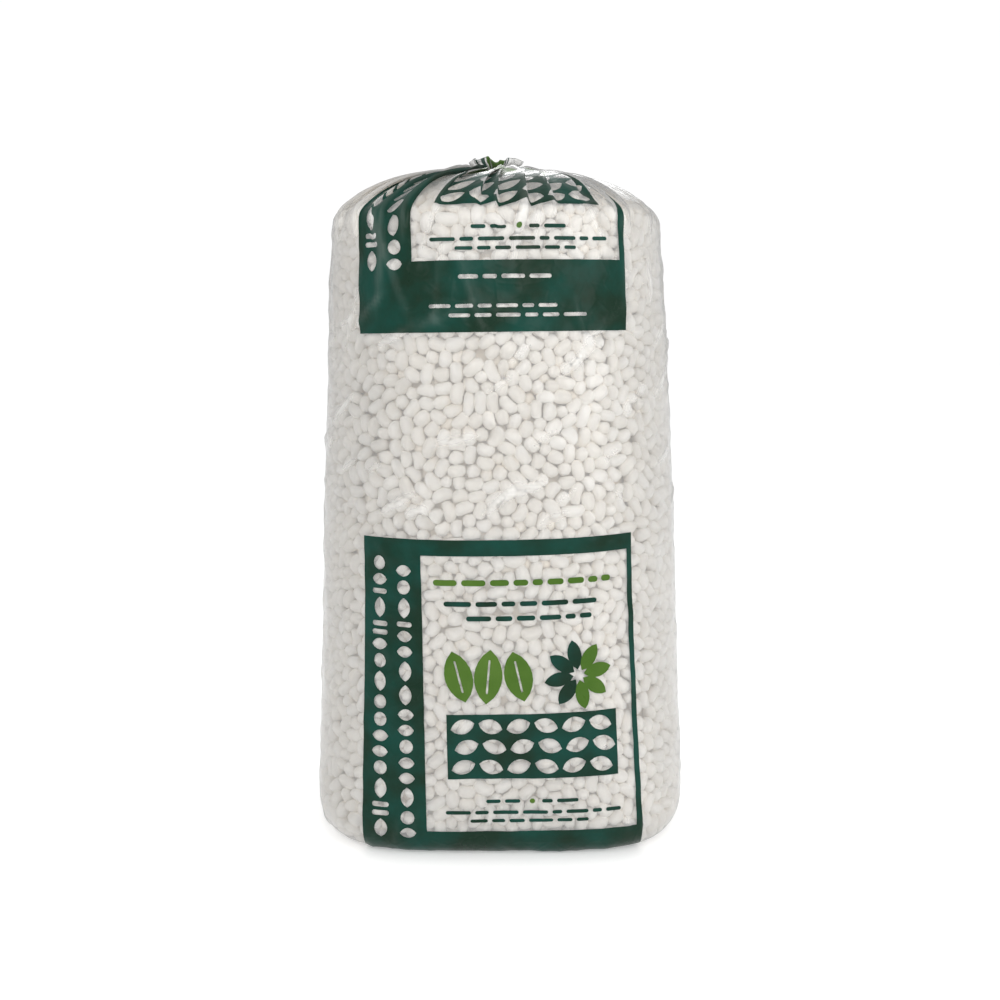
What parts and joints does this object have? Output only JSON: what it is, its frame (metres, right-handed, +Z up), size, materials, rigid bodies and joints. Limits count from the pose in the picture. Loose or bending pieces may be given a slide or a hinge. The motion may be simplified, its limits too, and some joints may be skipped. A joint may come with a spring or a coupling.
{
  "type": "packing peanut bag",
  "caption": "Tall tied sack of clear film with a green printed panel, full of loose off-white starch packing peanuts, standing on its flat bottom.",
  "frame": {"origin": "centre of the bag's box, on the floor under its flat bottom", "axes": "+Z up along the bag, -Y towards the printed front, +X to the right as seen from the front"},
  "size_m": [0.6599, 0.6043, 1.1966],
  "materials": {
    "clear_film": "clear thin polyethylene film with dark-green and light-green ink on the front",
    "starch_foam": "matte off-white puffed starch",
    "coated_wire": "satin coated wire"
  },
  "bodies": {
    "root": {"film_bag": "clear_film", "peanut_fill": "starch_foam", "neck_tie": "coated_wire"}
  },
  "joints": []
}
